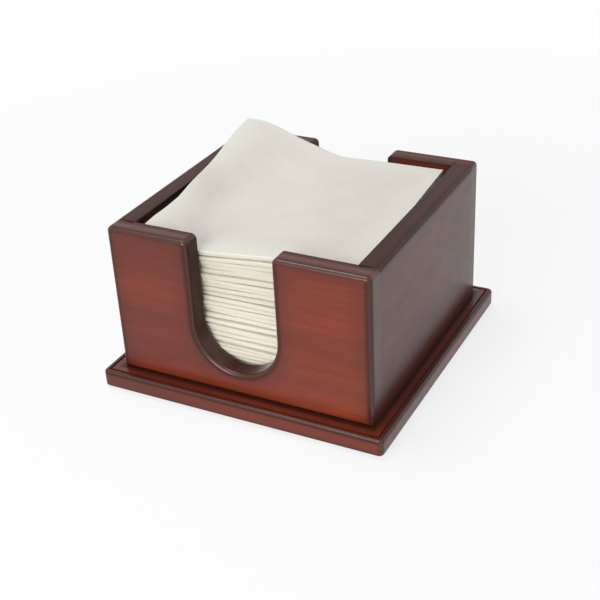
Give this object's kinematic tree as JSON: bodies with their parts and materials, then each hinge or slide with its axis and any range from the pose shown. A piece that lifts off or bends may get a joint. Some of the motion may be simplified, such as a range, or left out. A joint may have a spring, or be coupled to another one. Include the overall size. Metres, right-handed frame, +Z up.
{
  "type": "napkin holder",
  "caption": "Square open-topped wooden holder for folded cocktail napkins, on a wider moulded base, with round-bottomed finger notches front and back.",
  "frame": {"origin": "on the table, under the middle of the base", "axes": "+X to the right and +Y to the back as seen from the front notch, +Z up"},
  "size_m": [0.172, 0.172, 0.1156],
  "materials": {
    "stained_wood": "satin lacquer over a red-brown mahogany stain, darker at the edges",
    "plain_wood": "raw",
    "screw_steel": "yellow-grey zinc plate",
    "felt": "matt felt",
    "napkin_paper": "matt soft paper tissue, off-white"
  },
  "bodies": {
    "holder": {"base_plate": "stained_wood", "front_board": "stained_wood", "back_board": "stained_wood", "left_board": "stained_wood", "right_board": "stained_wood", "corner_tongues": "plain_wood", "base_screws": "screw_steel", "foot_pads": "felt"},
    "napkin_pile": {"napkin_01": "napkin_paper", "napkin_02": "napkin_paper", "napkin_03": "napkin_paper", "napkin_04": "napkin_paper", "napkin_05": "napkin_paper", "napkin_06": "napkin_paper", "napkin_07": "napkin_paper", "napkin_08": "napkin_paper", "napkin_09": "napkin_paper", "napkin_10": "napkin_paper", "napkin_11": "napkin_paper", "napkin_12": "napkin_paper", "napkin_13": "napkin_paper", "napkin_14": "napkin_paper", "napkin_15": "napkin_paper", "napkin_16": "napkin_paper", "napkin_17": "napkin_paper", "napkin_18": "napkin_paper", "napkin_19": "napkin_paper", "napkin_20": "napkin_paper", "napkin_21": "napkin_paper", "napkin_22": "napkin_paper", "napkin_23": "napkin_paper", "napkin_24": "napkin_paper", "napkin_25": "napkin_paper", "napkin_26": "napkin_paper", "napkin_27": "napkin_paper"},
    "loose_napkin": {"top_napkin": "napkin_paper"}
  },
  "joints": [
    {"name": "pile_lift", "type": "slide", "parent": "holder", "child": "napkin_pile", "axis": [0, 0, 1], "range_m": [0, 0.1]},
    {"name": "top_napkin_lift", "type": "slide", "parent": "napkin_pile", "child": "loose_napkin", "axis": [0, 0, 1], "range_m": [0, 0.04]}
  ]
}
